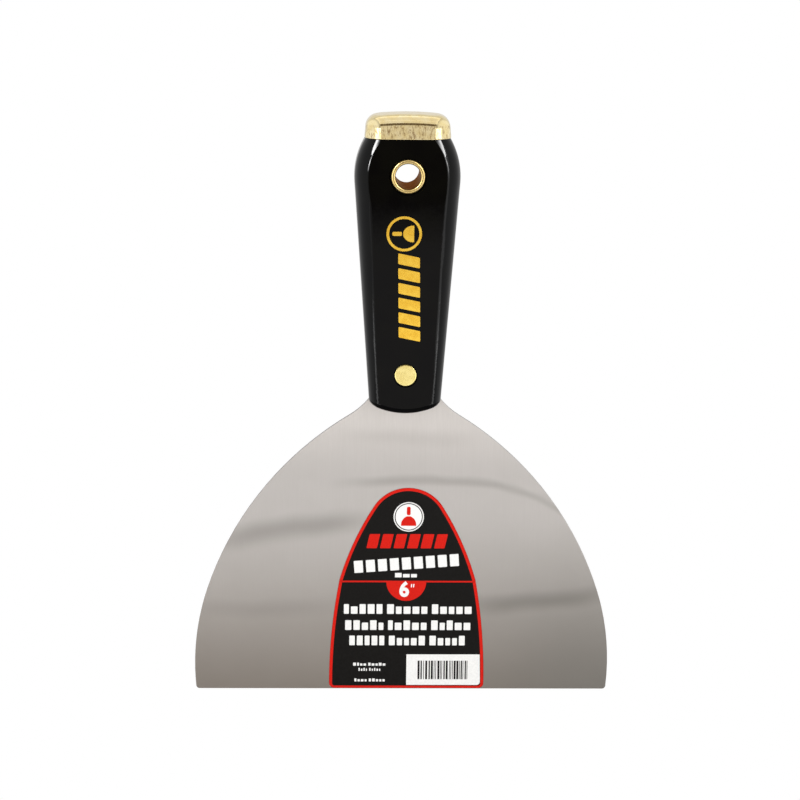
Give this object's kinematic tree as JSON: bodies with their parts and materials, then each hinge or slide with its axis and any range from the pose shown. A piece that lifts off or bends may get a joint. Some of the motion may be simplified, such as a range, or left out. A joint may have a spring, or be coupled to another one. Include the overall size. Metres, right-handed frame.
{
  "type": "drywall taping knife",
  "caption": "Hand tool with a wide fan-shaped flexible steel blade, a two-scale black handle with a lined hang hole, and a brass-plated hammer cap.",
  "frame": {"origin": "middle of the blade's working edge, in the mid-plane of the steel", "axes": "+Z from the working edge up to the hammer cap, +X across the blade, -Y out of the front face that carries the label"},
  "size_m": [0.1534, 0.0204, 0.2153],
  "materials": {
    "blade_steel": "fine vertical grain, satin",
    "handle_nylon": "polished black",
    "rivet_brass": "satin",
    "eyelet_brass": "bright, rolled edge",
    "cap_brass": "plated and polished, slight orange peel",
    "label_film": "printed film",
    "foil_print": "gold foil print on the handle",
    "label_ink_red": "printed red ink",
    "label_ink_white": "printed white ink"
  },
  "bodies": {
    "root": {"blade": "blade_steel", "front_scale": "handle_nylon", "back_scale": "handle_nylon", "rivet_post": "rivet_brass", "rivet_socket": "rivet_brass", "eyelet_barrel": "eyelet_brass", "eyelet_washer": "eyelet_brass", "hammer_cap": "cap_brass", "label": "label_film"}
  },
  "joints": []
}
